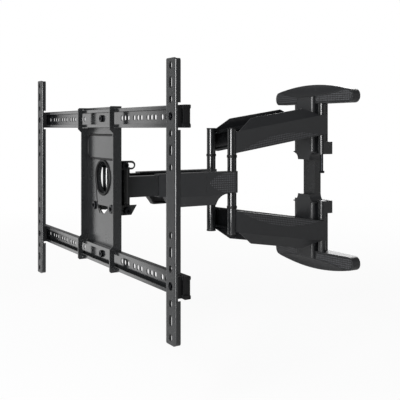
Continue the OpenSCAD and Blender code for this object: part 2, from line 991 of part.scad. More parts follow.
// Moulded end caps of the rails, thicker along their upper and lower edge
module rail_end_caps() {
    mid_y = rail_front + rail_d / 2;
    color(plastic)
        both_sides()
            both_levels()
                translate([rail_l / 2, 0, rail_z]) {
                    across(0, end_cap_t)
                        translate([mid_y, 0])
                            rounded2d(rail_d, rail_h, rail_bend_r);
                    for (edge = [-1, 1])
                        across(0, end_cap_t + end_cap_edge)
                            translate([mid_y, edge * (rail_h - lip_h) / 2])
                                rounded2d(rail_d, lip_h, rail_bend_r);
                }
}

// Section of a television bracket, drawn in x and y
module bracket_section() {
    difference() {
        translate([0, front_y + bracket_d])
            rounded2d(bracket_w, 2 * bracket_d, bracket_bend_r);
        translate([0, front_y + bracket_d + bracket_t])
            rounded2d(bracket_w - 2 * bracket_t, 2 * bracket_d, bracket_bend_r - bracket_t);
        translate([-bracket_w, front_y + bracket_d])
            square([2 * bracket_w, 2 * bracket_d]);
    }
}

// Vertical television bracket, a channel with screw slots
module tv_bracket() {
    notch = saddle_h / 2 + bracket_t * 2;
    difference() {
        intersection() {
            translate([0, 0, -bracket_h / 2])
                linear_extrude(bracket_h)
                    bracket_section();
            facing(front_y - cut, front_y + bracket_d + cut)
                rounded2d(bracket_w, bracket_h, 2 * bracket_bend_r);
        }
        facing(front_y - cut, front_y + bracket_t + cut)
            for (level = [-1, 1]) {
                for (row = [2, 4, 6, 8])
                    translate([0, level * row * slot_row])
                        slot2d(slot_w, slot_short);
                for (row = [3, 7])
                    translate([0, level * row * slot_row])
                        slot2d(slot_w, slot_long);
                translate([0, level * rail_z])
                    circle(r = bracket_bolt_r + slide, $fn = 24);
            }
        both_levels()
            translate([-bracket_w, front_y + bracket_d / 2, rail_z - notch])
                cube([2 * bracket_w, bracket_d, 2 * notch]);
    }
}

// Saddle blocks that hold a television bracket on the rails
module saddles() {
    both_levels()
        translate([0, 0, rail_z])
            difference() {
                union() {
                    facing(front_y + bracket_t, rail_front - slide)
                        square([bracket_w - 2 * bracket_t - 2 * slide, saddle_h], center = true);
                    facing(front_y + bracket_d / 2, rail_front - slide)
                        square([bracket_w, saddle_h], center = true);
                }
                rod_y(front_y, front_y + bracket_bolt_h, bracket_bolt_r + slide);
                rod_y(front_y, rail_front, rail_bolt_d / 2);
            }
}

// Bolts through the saddles into the sliding nuts
module bracket_bolts() {
    both_levels()
        translate([0, 0, rail_z]) {
            rod_y(front_y + bracket_t, front_y + bracket_bolt_h, bracket_bolt_r);
            rod_y(front_y + bracket_t, nut_front + nut_t, rail_bolt_d / 2);
        }
}

// Nuts that slide behind the lips of the rails
module rail_nuts() {
    both_levels()
        translate([0, 0, rail_z])
            difference() {
                facing(nut_front, nut_front + nut_t)
                    square([nut_w, rail_h - 2 * rail_t - 2 * slide], center = true);
                rod_y(nut_front - cut, nut_front + nut_t + cut, rail_bolt_d / 2);
            }
}

// Pivot pins of the wall side, with a thinner tip through the lug and a bore for the tension bolt
module wall_pin(bored) {
    difference() {
        union() {
            translate([0, 0, knuckle_z])
                cylinder(r = pin_r, h = lug_z - knuckle_z);
            translate([0, 0, lug_z - cut])
                cylinder(d = pin_tip_d, h = lug_t + nut_h + cut);
        }
        if (bored)
            translate([0, 0, knuckle_z - cut])
                cylinder(d = tension_d, h = tension_depth + cut);
    }
}

// Nut on the top of a wall pin
module pin_nut() {
    translate([0, 0, lug_z + lug_t])
        difference() {
            cylinder(d = nut_d, h = nut_h, $fn = 6);
            translate([0, 0, -cut])
                cylinder(d = pin_tip_d, h = nut_h + 2 * cut);
        }
}

// Bolt that hangs from the upper knuckle and sets how stiffly the arm swings
module tension_bolt() {
    low = knuckle_z - tension_drop;
    translate([0, 0, low + tension_head_h - cut])
        cylinder(d = tension_d, h = knuckle_z + tension_depth - low - tension_head_h + cut);
    translate([0, 0, low])
        cylinder(d = tension_head_d, h = tension_head_h, $fn = 6);
}

// Places a screen side part on one television bracket
module at_bracket(side) {
    translate([side * bracket_gap / 2, 0, 0])
        children();
}

// One module for each piece, in its colour and its place
module wall_plate_upper() {
    color(steel)
        wall_plate();
}

module wall_plate_lower() {
    color(steel)
        mirror([0, 0, 1])
            wall_plate();
}

module pivot_bracket_upper() {
    color(steel)
        pivot_bracket();
}

module pivot_bracket_lower() {
    color(steel)
        mirror([0, 0, 1])
            pivot_bracket();
}

module wall_cap_upper() {
    color(plastic)
        wall_cap();
}

module wall_cap_lower() {
    color(plastic)
        mirror([0, 0, 1])
            wall_cap();
}

module wall_pins() {
    color(bolt)
        for (side = [-1, 1], level = [-1, 1])
            at_wall(side, level)
                wall_pin(side > 0 && level > 0);
}

module pin_nuts() {
    color(bolt)
        for (side = [-1, 1], level = [-1, 1])
            at_wall(side, level)
                pin_nut();
}

module swing_bolt() {
    color(bolt)
        at_wall(1, 1)
            tension_bolt();
}

module rear_arm_upper_right() {
    color(steel)
        at_wall(1, 1)
            rear_arm();
}

module rear_arm_lower_right() {
    color(steel)
        at_wall(1, -1)
            rear_arm();
}

module rear_arm_upper_left() {
    color(steel)
        at_wall(-1, 1)
            rear_arm();
}

module rear_arm_lower_left() {
    color(steel)
        at_wall(-1, -1)
            rear_arm();
}

module rear_cover_upper_right() {
    color(plastic)
        at_wall(1, 1)
            rear_cover();
}

module rear_cover_lower_right() {
    color(plastic)
        at_wall(1, -1)
            rear_cover();
}

module rear_cover_upper_left() {
    color(plastic)
        at_wall(-1, 1)
            rear_cover();
}

module rear_cover_lower_left() {
    color(plastic)
        at_wall(-1, -1)
            rear_cover();
}

module elbow_pin_right() {
    color(bolt)
        at_elbow(1)
            elbow_pin();
}

module elbow_pin_left() {
    color(bolt)
        at_elbow(-1)
            elbow_pin();
}

module elbow_rings_right() {
    color(plastic)
        at_elbow(1)
            elbow_rings();
}

module elbow_rings_left() {
    color(plastic)
        at_elbow(-1)
            elbow_rings();
}

module elbow_caps_right() {
    color(plastic)
        at_elbow(1)
            elbow_caps();
}

module elbow_caps_left() {
    color(plastic)
        at_elbow(-1)
            elbow_caps();
}

module front_arm_right() {
    color(steel)
        at_elbow(1)
            front_arm(pin_fit);
}

module front_arm_left() {
    color(steel)
        at_elbow(-1)
            front_arm(open_fit);
}

module front_cover_right() {
    color(plastic)
        at_elbow(1)
            front_cover();
}

module front_cover_left() {
    color(plastic)
        at_elbow(-1)
            front_cover();
}

module tilt_bracket_right() {
    color(steel)
        tilt_bracket();
}

module tilt_bracket_left() {
    color(steel)
        mirror([1, 0, 0])
            tilt_bracket();
}

module upper_rail() {
    color(steel)
        translate([0, 0, rail_z])
            rail();
}

module lower_rail() {
    color(steel)
        translate([0, 0, -rail_z])
            rail();
}

module tv_bracket_right() {
    color(steel)
        at_bracket(1)
            tv_bracket();
}

module tv_bracket_left() {
    color(steel)
        at_bracket(-1)
            tv_bracket();
}

module saddles_right() {
    color(plastic)
        at_bracket(1)
            saddles();
}

module saddles_left() {
    color(plastic)
        at_bracket(-1)
            saddles();
}

module bracket_bolts_right() {
    color(bolt)
        at_bracket(1)
            bracket_bolts();
}

module bracket_bolts_left() {
    color(bolt)
        at_bracket(-1)
            bracket_bolts();
}

module rail_nuts_right() {
    color(bolt)
        at_bracket(1)
            rail_nuts();
}

module rail_nuts_left() {
    color(bolt)
        at_bracket(-1)
            rail_nuts();
}

wall_plate_upper();
wall_plate_lower();
pivot_bracket_upper();
pivot_bracket_lower();
wall_column();
wall_cap_upper();
wall_cap_lower();
wall_pins();
pin_nuts();
swing_bolt();
rear_arm_upper_right();
rear_arm_lower_right();
rear_cover_upper_right();
rear_cover_lower_right();
elbow_pin_right();
elbow_rings_right();
elbow_caps_right();
rear_arm_upper_left();
rear_arm_lower_left();
rear_cover_upper_left();
rear_cover_lower_left();
elbow_pin_left();
elbow_rings_left();
elbow_caps_left();
front_arm_right();
front_cover_right();
front_arm_left();
front_cover_left();
head_yoke();
head_pins();
head_washers();
clamp_bolts();
tilt_bolts();
centre_plate();
tilt_bracket_right();
tilt_bracket_left();
upper_rail();
lower_rail();
rail_bolts();
plate_bolts();
rail_end_caps();
tv_bracket_right();
saddles_right();
bracket_bolts_right();
rail_nuts_right();
tv_bracket_left();
saddles_left();
bracket_bolts_left();
rail_nuts_left();
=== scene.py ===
"""Looks for a double arm television wall mount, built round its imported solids.

The arms reach out of the wall along -Y and the screen side faces -Y. All lengths are metres.
"""

import math

import bmesh
import bpy
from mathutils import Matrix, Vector


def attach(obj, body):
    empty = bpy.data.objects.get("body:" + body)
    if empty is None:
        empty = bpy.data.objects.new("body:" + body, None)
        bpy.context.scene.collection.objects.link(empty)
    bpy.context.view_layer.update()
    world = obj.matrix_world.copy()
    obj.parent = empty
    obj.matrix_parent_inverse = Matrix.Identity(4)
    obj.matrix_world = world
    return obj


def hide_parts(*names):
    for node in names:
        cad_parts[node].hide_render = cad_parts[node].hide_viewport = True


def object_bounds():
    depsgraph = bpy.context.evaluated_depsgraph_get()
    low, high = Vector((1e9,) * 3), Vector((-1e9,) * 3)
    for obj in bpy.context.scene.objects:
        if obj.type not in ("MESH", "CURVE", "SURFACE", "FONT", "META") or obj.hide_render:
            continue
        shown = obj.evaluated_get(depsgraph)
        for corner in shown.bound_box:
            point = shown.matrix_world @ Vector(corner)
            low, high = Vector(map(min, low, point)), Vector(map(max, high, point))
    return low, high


bl_info = {
    "name": "Double Arm Screen Mount",
    "version": (1, 0, 0),
    "blender": (4, 5, 0),
    "location": "3D View > Sidebar > Mount",
    "description": "Finishes and small parts of a folding wall mount for a television",
    "category": "Object",
}

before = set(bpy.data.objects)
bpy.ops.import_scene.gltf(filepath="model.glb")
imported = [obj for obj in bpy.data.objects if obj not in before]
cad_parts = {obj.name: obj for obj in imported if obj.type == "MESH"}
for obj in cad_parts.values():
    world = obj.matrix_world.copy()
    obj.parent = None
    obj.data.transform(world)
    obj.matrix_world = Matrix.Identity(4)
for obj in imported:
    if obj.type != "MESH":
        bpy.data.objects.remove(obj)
solid_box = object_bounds()
MM = 0.001
SIDES = ((1, "right"), (-1, "left"))
LEVELS = ((1, "upper"), (-1, "lower"))

# Height of the rails' bolts above and below the middle
RAIL_Z = 125 * MM
# Face of the centre plate that looks at the screen
PLATE_Y = -521 * MM
# Slanted front of a wall cap: where it starts, how wide it is and how far it falls back
CAP_X, CAP_Y = 29 * MM, -35.5 * MM
CAP_RUN, CAP_FALL = 102.5 * MM, 15.5 * MM
# Rise of a rear arm over its length, and height of the middle of its cover's recess
ARM_RISE = 37 * MM
FIELD_Z = 75.4 * MM
# Floor of the covers' recesses, outwards from the pivot line
RECESS_OUT = 11.3 * MM


def srgb_to_linear(hex_colour):
    """Turns a colour such as #222426 into linear red, green, blue and alpha."""
    channels = [int(hex_colour[i : i + 2], 16) / 255 for i in (1, 3, 5)]
    linear = [c / 12.92 if c <= 0.04045 else ((c + 0.055) / 1.055) ** 2.4 for c in channels]
    return (*linear, 1.0)


def add_node(tree, kind, inputs=None, **settings):
    """Adds a node. Inputs map a socket's name or number to a value, or to a socket to link from."""
    node = tree.nodes.new(kind)
    for name, value in settings.items():
        setattr(node, name, value)
    for socket, value in (inputs or {}).items():
        if isinstance(value, bpy.types.NodeSocket):
            tree.links.new(value, node.inputs[socket])
        else:
            node.inputs[socket].default_value = value
    return node


class MountSizes(bpy.types.PropertyGroup):
    """Sizes that the small parts share with the solids."""

    pivot_x: bpy.props.FloatProperty(
        name="Pivot line",
        description="Distance of the pivot lines from the middle",
        default=39 * MM,
        unit="LENGTH",
    )
    arm_length: bpy.props.FloatProperty(
        name="Arm length",
        description="Distance between the pivots of one arm",
        default=235 * MM,
        unit="LENGTH",
    )
    wall_gap: bpy.props.FloatProperty(
        name="Wall gap",
        description="Distance from the wall to the first pivot",
        default=25 * MM,
        unit="LENGTH",
    )
    edge_round: bpy.props.FloatProperty(
        name="Edge rounding",
        description="Radius of the rounded edges of pressed steel",
        default=0.5 * MM,
        unit="LENGTH",
    )
    grid_pitch: bpy.props.FloatProperty(
        name="Grid pitch",
        description="Distance between the raised dots of the textured fields",
        default=4.4 * MM,
        unit="LENGTH",
    )


class MountColours(bpy.types.PropertyGroup):
    """Colours of the finishes, as the eye sees them."""

    steel: bpy.props.StringProperty(
        name="Powder coat", description="Colour of the coated steel", default="#141516"
    )
    plastic: bpy.props.StringProperty(
        name="ABS", description="Colour of the moulded covers", default="#141517"
    )
    nylon: bpy.props.StringProperty(
        name="Nylon", description="Colour of the rings and end caps", default="#060607"
    )
    oxide: bpy.props.StringProperty(
        name="Black oxide", description="Colour of the bolts and pins", default="#26272a"
    )
    # Painted shade: the near black laid between the raised dots.
    grid_painted_shade: bpy.props.StringProperty(
        name="Grid base", description="Colour between the raised dots", default="#040404"
    )
    # Painted highlight: the lighter colour laid on the tops of the raised dots.
    grid_painted_highlight: bpy.props.StringProperty(
        name="Grid dot", description="Colour of the tops of the raised dots", default="#3a3b3e"
    )
    floor: bpy.props.StringProperty(
        name="Floor", description="Colour of the studio floor", default="#c8c8c8"
    )


def new_material(name):
    """Starts an empty node material and returns it with its tree and output."""
    material = bpy.data.materials.new(name)
    material.use_nodes = True
    material.node_tree.nodes.clear()
    output = add_node(material.node_tree, "ShaderNodeOutputMaterial")
    return material, material.node_tree, output


def powder_coated_steel(colours):
    """Pressed steel under polyester powder: satin black with the faint ripple of the melt."""
    material, tree, output = new_material("powder_coated_steel")
    place = add_node(tree, "ShaderNodeTexCoord").outputs["Object"]
    ripple = add_node(
        tree, "ShaderNodeTexNoise", {"Vector": place, "Scale": 1 / (2.2 * MM), "Detail": 2.0}
    )
    cloud = add_node(
        tree, "ShaderNodeTexNoise", {"Vector": place, "Scale": 1 / (60 * MM), "Detail": 3.0}
    )
    rough = add_node(
        tree,
        "ShaderNodeMapRange",
        {"Value": cloud.outputs["Fac"], "To Min": 0.24, "To Max": 0.3},
    )
    bump = add_node(
        tree,
        "ShaderNodeBump",
        {"Height": ripple.outputs["Fac"], "Distance": 0.01 * MM, "Strength": 0.2},
    )
    shader = add_node(
        tree,
        "ShaderNodeBsdfPrincipled",
        {
            "Base Color": srgb_to_linear(colours.steel),
            "Roughness": rough.outputs["Result"],
            "Normal": bump.outputs["Normal"],
            "IOR": 1.52,
        },
    )
    tree.links.new(shader.outputs["BSDF"], output.inputs["Surface"])
    return material


def gloss_enamelled_steel(colours):
    """Roll formed steel under stoved enamel: a smooth coat that mirrors what stands on it."""
    material, tree, output = new_material("gloss_enamelled_steel")
    place = add_node(tree, "ShaderNodeTexCoord").outputs["Object"]
    cloud = add_node(
        tree, "ShaderNodeTexNoise", {"Vector": place, "Scale": 1 / (40 * MM), "Detail": 2.0}
    )
    rough = add_node(
        tree,
        "ShaderNodeMapRange",
        {"Value": cloud.outputs["Fac"], "To Min": 0.13, "To Max": 0.2},
    )
    shader = add_node(
        tree,
        "ShaderNodeBsdfPrincipled",
        {
            "Base Color": srgb_to_linear(colours.steel),
            "Roughness": rough.outputs["Result"],
            "IOR": 1.55,
        },
    )
    tree.links.new(shader.outputs["BSDF"], output.inputs["Surface"])
    return material


def moulded_abs(colours):
    """ABS from a spark eroded mould: semi-gloss black with a fine even grain."""
    material, tree, output = new_material("moulded_abs")
    place = add_node(tree, "ShaderNodeTexCoord").outputs["Object"]
    grain = add_node(
        tree, "ShaderNodeTexNoise", {"Vector": place, "Scale": 1 / (0.9 * MM), "Detail": 2.0}
    )
    cloud = add_node(
        tree, "ShaderNodeTexNoise", {"Vector": place, "Scale": 1 / (50 * MM), "Detail": 2.0}
    )
    rough = add_node(
        tree,
        "ShaderNodeMapRange",
        {"Value": cloud.outputs["Fac"], "To Min": 0.34, "To Max": 0.42},
    )
    bump = add_node(
        tree,
        "ShaderNodeBump",
        {"Height": grain.outputs["Fac"], "Distance": 0.02 * MM, "Strength": 0.4},
    )
    shader = add_node(
        tree,
        "ShaderNodeBsdfPrincipled",
        {
            "Base Color": srgb_to_linear(colours.plastic),
            "Roughness": rough.outputs["Result"],
            "Normal": bump.outputs["Normal"],
            "IOR": 1.53,
        },
    )
    tree.links.new(shader.outputs["BSDF"], output.inputs["Surface"])
    return material


def gridded_abs_painted_sheen(colours, pitch):
    """ABS with a moulded grid of raised dots. The dot tops carry a painted highlight and the spaces
    between carry painted shade, which breaks the sheen into a fine mesh.
    """
    material, tree, output = new_material("gridded_abs_painted_sheen")
    place = add_node(tree, "ShaderNodeTexCoord").outputs["UV"]
    dots = add_node(
        tree,
        "ShaderNodeTexVoronoi",
        {"Vector": place, "Scale": 1 / pitch, "Randomness": 0.0},
        voronoi_dimensions="2D",
    )
    dome = add_node(
        tree,
        "ShaderNodeMapRange",
        {
            "Value": dots.outputs["Distance"],
            "From Min": 0.2,
            "From Max": 0.5,
            "To Min": 1.0,
            "To Max": 0.0,
        },
    )
    # Painted light: lighter on the dot tops as painted highlight, darker between them as painted
    # shade.
    dots_painted_light = add_node(
        tree,
        "ShaderNodeMix",
        {
            "Factor": dome.outputs["Result"],
            "A": srgb_to_linear(colours.grid_painted_shade),
            "B": srgb_to_linear(colours.grid_painted_highlight),
        },
        data_type="RGBA",
    )
    bump = add_node(
        tree,
        "ShaderNodeBump",
        {"Height": dome.outputs["Result"], "Distance": 0.25 * MM, "Strength": 0.8},
    )
    shader = add_node(
        tree,
        "ShaderNodeBsdfPrincipled",
        {
            "Base Color": dots_painted_light.outputs["Result"],
            "Roughness": 0.38,
            "Normal": bump.outputs["Normal"],
            "IOR": 1.53,
        },
    )
    tree.links.new(shader.outputs["BSDF"], output.inputs["Surface"])
    return material


def moulded_nylon(colours):
    """Glass filled nylon from a matt mould: dull black with a soft mottled sheen."""
    material, tree, output = new_material("moulded_nylon")
    place = add_node(tree, "ShaderNodeTexCoord").outputs["Object"]
    mottle = add_node(
        tree, "ShaderNodeTexNoise", {"Vector": place, "Scale": 1 / (3 * MM), "Detail": 4.0}
    )
    rough = add_node(
        tree,
        "ShaderNodeMapRange",
        {"Value": mottle.outputs["Fac"], "To Min": 0.42, "To Max": 0.58},
    )
    shader = add_node(
        tree,
        "ShaderNodeBsdfPrincipled",
        {
            "Base Color": srgb_to_linear(colours.nylon),
            "Roughness": rough.outputs["Result"],
            "IOR": 1.53,
            "Specular IOR Level": 0.2,
        },
    )
    tree.links.new(shader.outputs["BSDF"], output.inputs["Surface"])
    return material


def black_oxide_steel(colours):
    """Turned steel with a black oxide finish: a dark metal sheen with faint turning marks."""
    material, tree, output = new_material("black_oxide_steel")
    place = add_node(tree, "ShaderNodeTexCoord").outputs["Object"]
    marks = add_node(
        tree, "ShaderNodeTexNoise", {"Vector": place, "Scale": 1 / (0.6 * MM), "Detail": 1.0}
    )
    rough = add_node(
        tree,
        "ShaderNodeMapRange",
        {"Value": marks.outputs["Fac"], "To Min": 0.28, "To Max": 0.4},
    )
    shader = add_node(
        tree,
        "ShaderNodeBsdfPrincipled",
        {
            "Base Color": srgb_to_linear(colours.oxide),
            "Metallic": 1.0,
            "Roughness": rough.outputs["Result"],
        },
    )
    tree.links.new(shader.outputs["BSDF"], output.inputs["Surface"])
    return material


def studio_paint(colours):
    """Matt studio paper: plain and pale, near white to the camera but still holding a shadow."""
    material, tree, output = new_material("studio_paper")
    path = add_node(tree, "ShaderNodeLightPath")
    mirrored = add_node(
        tree,
        "ShaderNodeMath",
        {0: path.outputs["Is Glossy Ray"], 1: 0.06},
        operation="MULTIPLY",
    )
    seen = add_node(
        tree,
        "ShaderNodeMath",
        {0: path.outputs["Is Camera Ray"], 1: mirrored.outputs[0]},
        operation="MAXIMUM",
    )
    paper = add_node(
        tree, "ShaderNodeBsdfDiffuse", {"Color": srgb_to_linear(colours.floor)}
    )
    glow = add_node(
        tree, "ShaderNodeEmission", {"Color": (1, 1, 1, 1), "Strength": 1.0}
    )
    place = add_node(tree, "ShaderNodeTexCoord").outputs["Object"]
    away = add_node(tree, "ShaderNodeVectorMath", {0: place}, operation="LENGTH")
    fade = add_node(
        tree,
        "ShaderNodeMapRange",
        {
            "Value": away.outputs["Value"],
            "From Min": 0.5,
            "From Max": 2.5,
            "To Min": 0.93,
            "To Max": 1.0,
        },
    )
    part = add_node(
        tree,
        "ShaderNodeMath",
        {0: seen.outputs[0], 1: fade.outputs["Result"]},
        operation="MULTIPLY",
    )
    mix = add_node(
        tree,
        "ShaderNodeMixShader",
        {0: part.outputs[0], 1: paper.outputs[0], 2: glow.outputs[0]},
    )
    tree.links.new(mix.outputs[0], output.inputs["Surface"])
    return material


def finish(names, material, rounding):
    """Gives solids one finish and softens their sharp edges."""
    for name in names:
        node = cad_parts[name]
        if not node.material_slots:
            node.data.materials.append(None)
        for slot in node.material_slots:
            slot.link = "OBJECT"
            slot.material = material
        if rounding:
            soften(node, rounding, math.radians(40))


def soften(piece, width, sharpest):
    """Rounds the edges of a piece that turn by more than an angle."""
    bevel = piece.modifiers.new("rounded_edges", "BEVEL")
    bevel.width = width
    bevel.segments = 2
    bevel.limit_method = "ANGLE"
    bevel.angle_limit = sharpest
    bevel.use_clamp_overlap = True


def starting_with(*heads):
    """Names of the solids that start with one of these words."""
    return [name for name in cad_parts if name.startswith(heads)]


def hang(piece, body, material):
    """Puts a new piece in the scene, on its body, in its finish."""
    piece.data.materials.append(material)
    bpy.context.scene.collection.objects.link(piece)
    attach(piece, body)


def slab(name, outline, place, thickness, rounding=0.15 * MM):
    """Cuts a thin slab to an outline; place turns distances along, up and out into a point."""
    form = bmesh.new()
    flat = form.loops.layers.uv.new("grid")
    rings = [[form.verts.new(place(u, v, w)) for u, v in outline] for w in (0.0, thickness)]
    where = {vert: point for ring in rings for vert, point in zip(ring, outline)}
    form.faces.new(rings[0])
    form.faces.new(rings[1])
    count = len(outline)
    for i in range(count):
        j = (i + 1) % count
        form.faces.new((rings[0][i], rings[0][j], rings[1][j], rings[1][i]))
    for face in form.faces:
        for loop in face.loops:
            loop[flat].uv = where[loop.vert]
    bmesh.ops.recalc_face_normals(form, faces=form.faces)
    mesh = bpy.data.meshes.new(name)
    form.to_mesh(mesh)
    form.free()
    piece = bpy.data.objects.new(name, mesh)
    soften(piece, rounding, math.radians(50))
    return piece


def bead(name, points, radius, closed=True):
    """Lays a round bead along a path."""
    path = bpy.data.curves.new(name, "CURVE")
    path.dimensions = "3D"
    path.bevel_depth = radius
    path.bevel_resolution = 3
    path.use_fill_caps = True
    line = path.splines.new("POLY")
    line.points.add(len(points) - 1)
    for target, point in zip(line.points, points):
        target.co = (*point, 1.0)
    line.use_cyclic_u = closed
    return bpy.data.objects.new(name, path)


def turned(rings, base, axis, verts, faces, segments=24):
    """Adds a turned form: rings of (radius, height, hexagonal), closed at both ends."""
    turn = axis.to_track_quat("Z", "X").to_matrix()
    first = len(verts)
    for radius, height, hexagonal in rings:
        for k in range(segments):
            angle = 2 * math.pi * k / segments
            reach = radius
            if hexagonal:
                reach = radius / math.cos(angle % (math.pi / 3) - math.pi / 6)
            local = Vector((reach * math.cos(angle), reach * math.sin(angle), height))
            verts.append(base + turn @ local)
    for ring in range(len(rings) - 1):
        low = first + ring * segments
        for k in range(segments):
            j = (k + 1) % segments
            faces.append((low + k, low + j, low + segments + j, low + segments + k))
    faces.append(tuple(first + k for k in reversed(range(segments))))
    faces.append(tuple(len(verts) - segments + k for k in range(segments)))


def socket_bolts(name, seats, head, shank, flange):
    """Makes socket head bolts; a seat is a point and the way the head looks."""
    head_r, head_h = head
    shank_r, shank_l = shank
    flange_r, flange_h = flange
    soft = 0.6 * MM
    rings = [(shank_r, -shank_l, False), (shank_r, 0.0, False)]
    if flange_h:
        rings += [(flange_r, 0.0, False), (flange_r, flange_h, False)]
    rings += [
        (head_r, flange_h, False),
        (head_r, head_h - soft, False),
        (head_r - 0.3 * soft, head_h - 0.3 * soft, False),
        (head_r - soft, head_h, False),
        (0.5 * head_r, head_h, True),
        (0.46 * head_r, head_h - 0.3 * soft, True),
        (0.46 * head_r, 0.35 * head_h, True),
    ]
    verts, faces = [], []
    for point, way in seats:
        turned(rings, Vector(point), Vector(way), verts, faces)
    mesh = bpy.data.meshes.new(name)
    mesh.from_pydata(verts, [], faces)
    mesh.shade_smooth()
    mesh.set_sharp_from_angle(angle=math.radians(35))
    return bpy.data.objects.new(name, mesh)


def lobe_outline(margin):
    """Outline of the textured lobe of a wall cap, as distance from the middle and height."""
    end_x, end_z, end_r = 116 * MM, 175.5 * MM, 14.5 * MM - margin
    crown_z, crown_r = -321 * MM, 524 * MM - margin
    saddle_y, saddle_z, saddle_r = -50 * MM, 203 * MM, 29 * MM
    points = [(33 * MM, 161 * MM + margin)]
    for step in range(15):
        angle = math.radians(-90 + 12 * step)
        points.append((end_x + end_r * math.cos(angle), end_z + end_r * math.sin(angle)))
    for step in range(17):
        x = (113 - 5 * step) * MM
        across = lobe_y(x) - saddle_y
        saddle = saddle_z - math.sqrt(saddle_r**2 - across**2) - 0.6 * margin
        crown = crown_z + math.sqrt(crown_r**2 - x**2)
        points.append((x, min(saddle, crown)))
    return points


def lobe_y(x):
    """Depth of the slanted front of a wall cap at a distance from the middle."""
    return CAP_Y + (x - CAP_X) * CAP_FALL / CAP_RUN


def field_outline(margin):
    """Outline of the textured field on a rear cover, along the arm and up from its edge."""
    half, rise = 111.5 * MM, 20 * MM
    arc_r = (half**2 + rise**2) / (2 * rise)
    reach = half - 9 * margin
    points = [(-reach, margin), (reach, margin)]
    for step in range(41):
        t = reach - 2 * reach * step / 40
        height = math.sqrt(arc_r**2 - t * t) + rise - arc_r - margin
        if height > margin + 0.05 * MM:
            points.append((t, height))
    return points


def lens_outline(margin):
    """Outline of the textured lens on a front cover, from the elbow and from its middle."""
    arc_r, middle, half = 73.88 * MM, 10 * MM, 21.4 * MM
    top = []
    for step in range(25):
        s = 61 * MM * step / 24
        top.append((s, half - arc_r + math.sqrt(arc_r**2 - (s - middle) ** 2) - margin))
    top = [(s, h) for s, h in top if h > 0.3 * MM]
    return top + [(s, -h) for s, h in reversed(top)]


def rounded_path(width, height, radius, steps=6):
    """Points round a rectangle with round corners, centred on zero."""
    points = []
    for turn, (sx, sz) in enumerate(((1, 1), (-1, 1), (-1, -1), (1, -1))):
        for step in range(steps + 1):
            angle = math.radians(90 * turn + 90 * step / steps)
            points.append(
                (
                    sx * (width / 2 - radius) + radius * math.cos(angle),
                    sz * (height / 2 - radius) + radius * math.sin(angle),
                )
            )
    return points


class MOUNT_OT_steel(bpy.types.Operator):
    """Finish the plates, column, yoke and brackets in satin powder coat."""

    bl_idname = "mount.steel"
    bl_label = "Steel parts"

    def execute(self, context):
        coat = powder_coated_steel(context.scene.mount_colours)
        rounding = context.scene.mount_sizes.edge_round
        names = starting_with(
            "wall_plate", "pivot_bracket", "wall_column", "head_yoke", "tilt_bracket",
            "tv_bracket", "centre_plate",
        )
        finish(names, coat, rounding)
        return {"FINISHED"}


class MOUNT_OT_gloss(bpy.types.Operator):
    """Finish the slotted rails and the arms with their tubes in gloss enamel."""

    bl_idname = "mount.gloss"
    bl_label = "Rails and arms"

    def execute(self, context):
        enamel = gloss_enamelled_steel(context.scene.mount_colours)
        names = starting_with("upper_rail", "lower_rail", "rear_arm", "front_arm")
        finish(names, enamel, context.scene.mount_sizes.edge_round)
        return {"FINISHED"}


class MOUNT_OT_covers(bpy.types.Operator):
    """Finish the arm covers and the wall caps in moulded ABS."""

    bl_idname = "mount.covers"
    bl_label = "Covers"

    def execute(self, context):
        plastic = moulded_abs(context.scene.mount_colours)
        rounding = context.scene.mount_sizes.edge_round
        finish(starting_with("wall_cap", "rear_cover", "front_cover"), plastic, rounding)
        return {"FINISHED"}


class MOUNT_OT_nylon(bpy.types.Operator):
    """Finish the rings, caps and saddles in moulded nylon."""

    bl_idname = "mount.nylon"
    bl_label = "Nylon parts"

    def execute(self, context):
        nylon = moulded_nylon(context.scene.mount_colours)
        names = starting_with(
            # The black nylon of the rail end caps also stands for the shade that falls on the rail
            # beside the brackets: painted shade in part.
            "elbow_rings", "elbow_caps", "head_washers", "saddles", "rail_end_caps"
        )
        finish(names, nylon, context.scene.mount_sizes.edge_round / 2)
        return {"FINISHED"}


class MOUNT_OT_fasteners(bpy.types.Operator):
    """Finish the pins, bolts and nuts in black oxide."""

    bl_idname = "mount.fasteners"
    bl_label = "Fasteners"

    def execute(self, context):
        oxide = black_oxide_steel(context.scene.mount_colours)
        names = starting_with(
            "wall_pins", "pin_nuts", "swing_bolt", "elbow_pin", "head_pins",
            "clamp_bolts", "tilt_bolts", "rail_bolts", "plate_bolts", "bracket_bolts",
            "rail_nuts",
        )
        finish(names, oxide, context.scene.mount_sizes.edge_round / 2)
        return {"FINISHED"}


class MOUNT_OT_lobes(bpy.types.Operator):
    """Lay the gridded panels and their rim lines on the lobes of the wall caps."""

    bl_idname = "mount.lobes"
    bl_label = "Cap lobes"

    def execute(self, context):
        grid = gridded_abs_painted_sheen(context.scene.mount_colours, context.scene.mount_sizes.grid_pitch)
        rim = moulded_abs(context.scene.mount_colours)
        lean = math.atan2(CAP_FALL, CAP_RUN)
        for side, side_name in SIDES:
            for level, level_name in LEVELS:

                def on_cap(x, z, out):
                    y = lobe_y(x) - out * math.cos(lean)
                    return Vector((side * (x + out * math.sin(lean)), y, level * z))

                label = f"{level_name}_{side_name}"
                panel = slab(f"lobe_grid_{label}", lobe_outline(4 * MM), on_cap, 0.35 * MM)
                hang(panel, "wall", grid)
                edge = [on_cap(x, z, 0.1 * MM) for x, z in lobe_outline(2.6 * MM)]
                hang(bead(f"lobe_rim_{label}", edge, 0.45 * MM), "wall", rim)
        return {"FINISHED"}


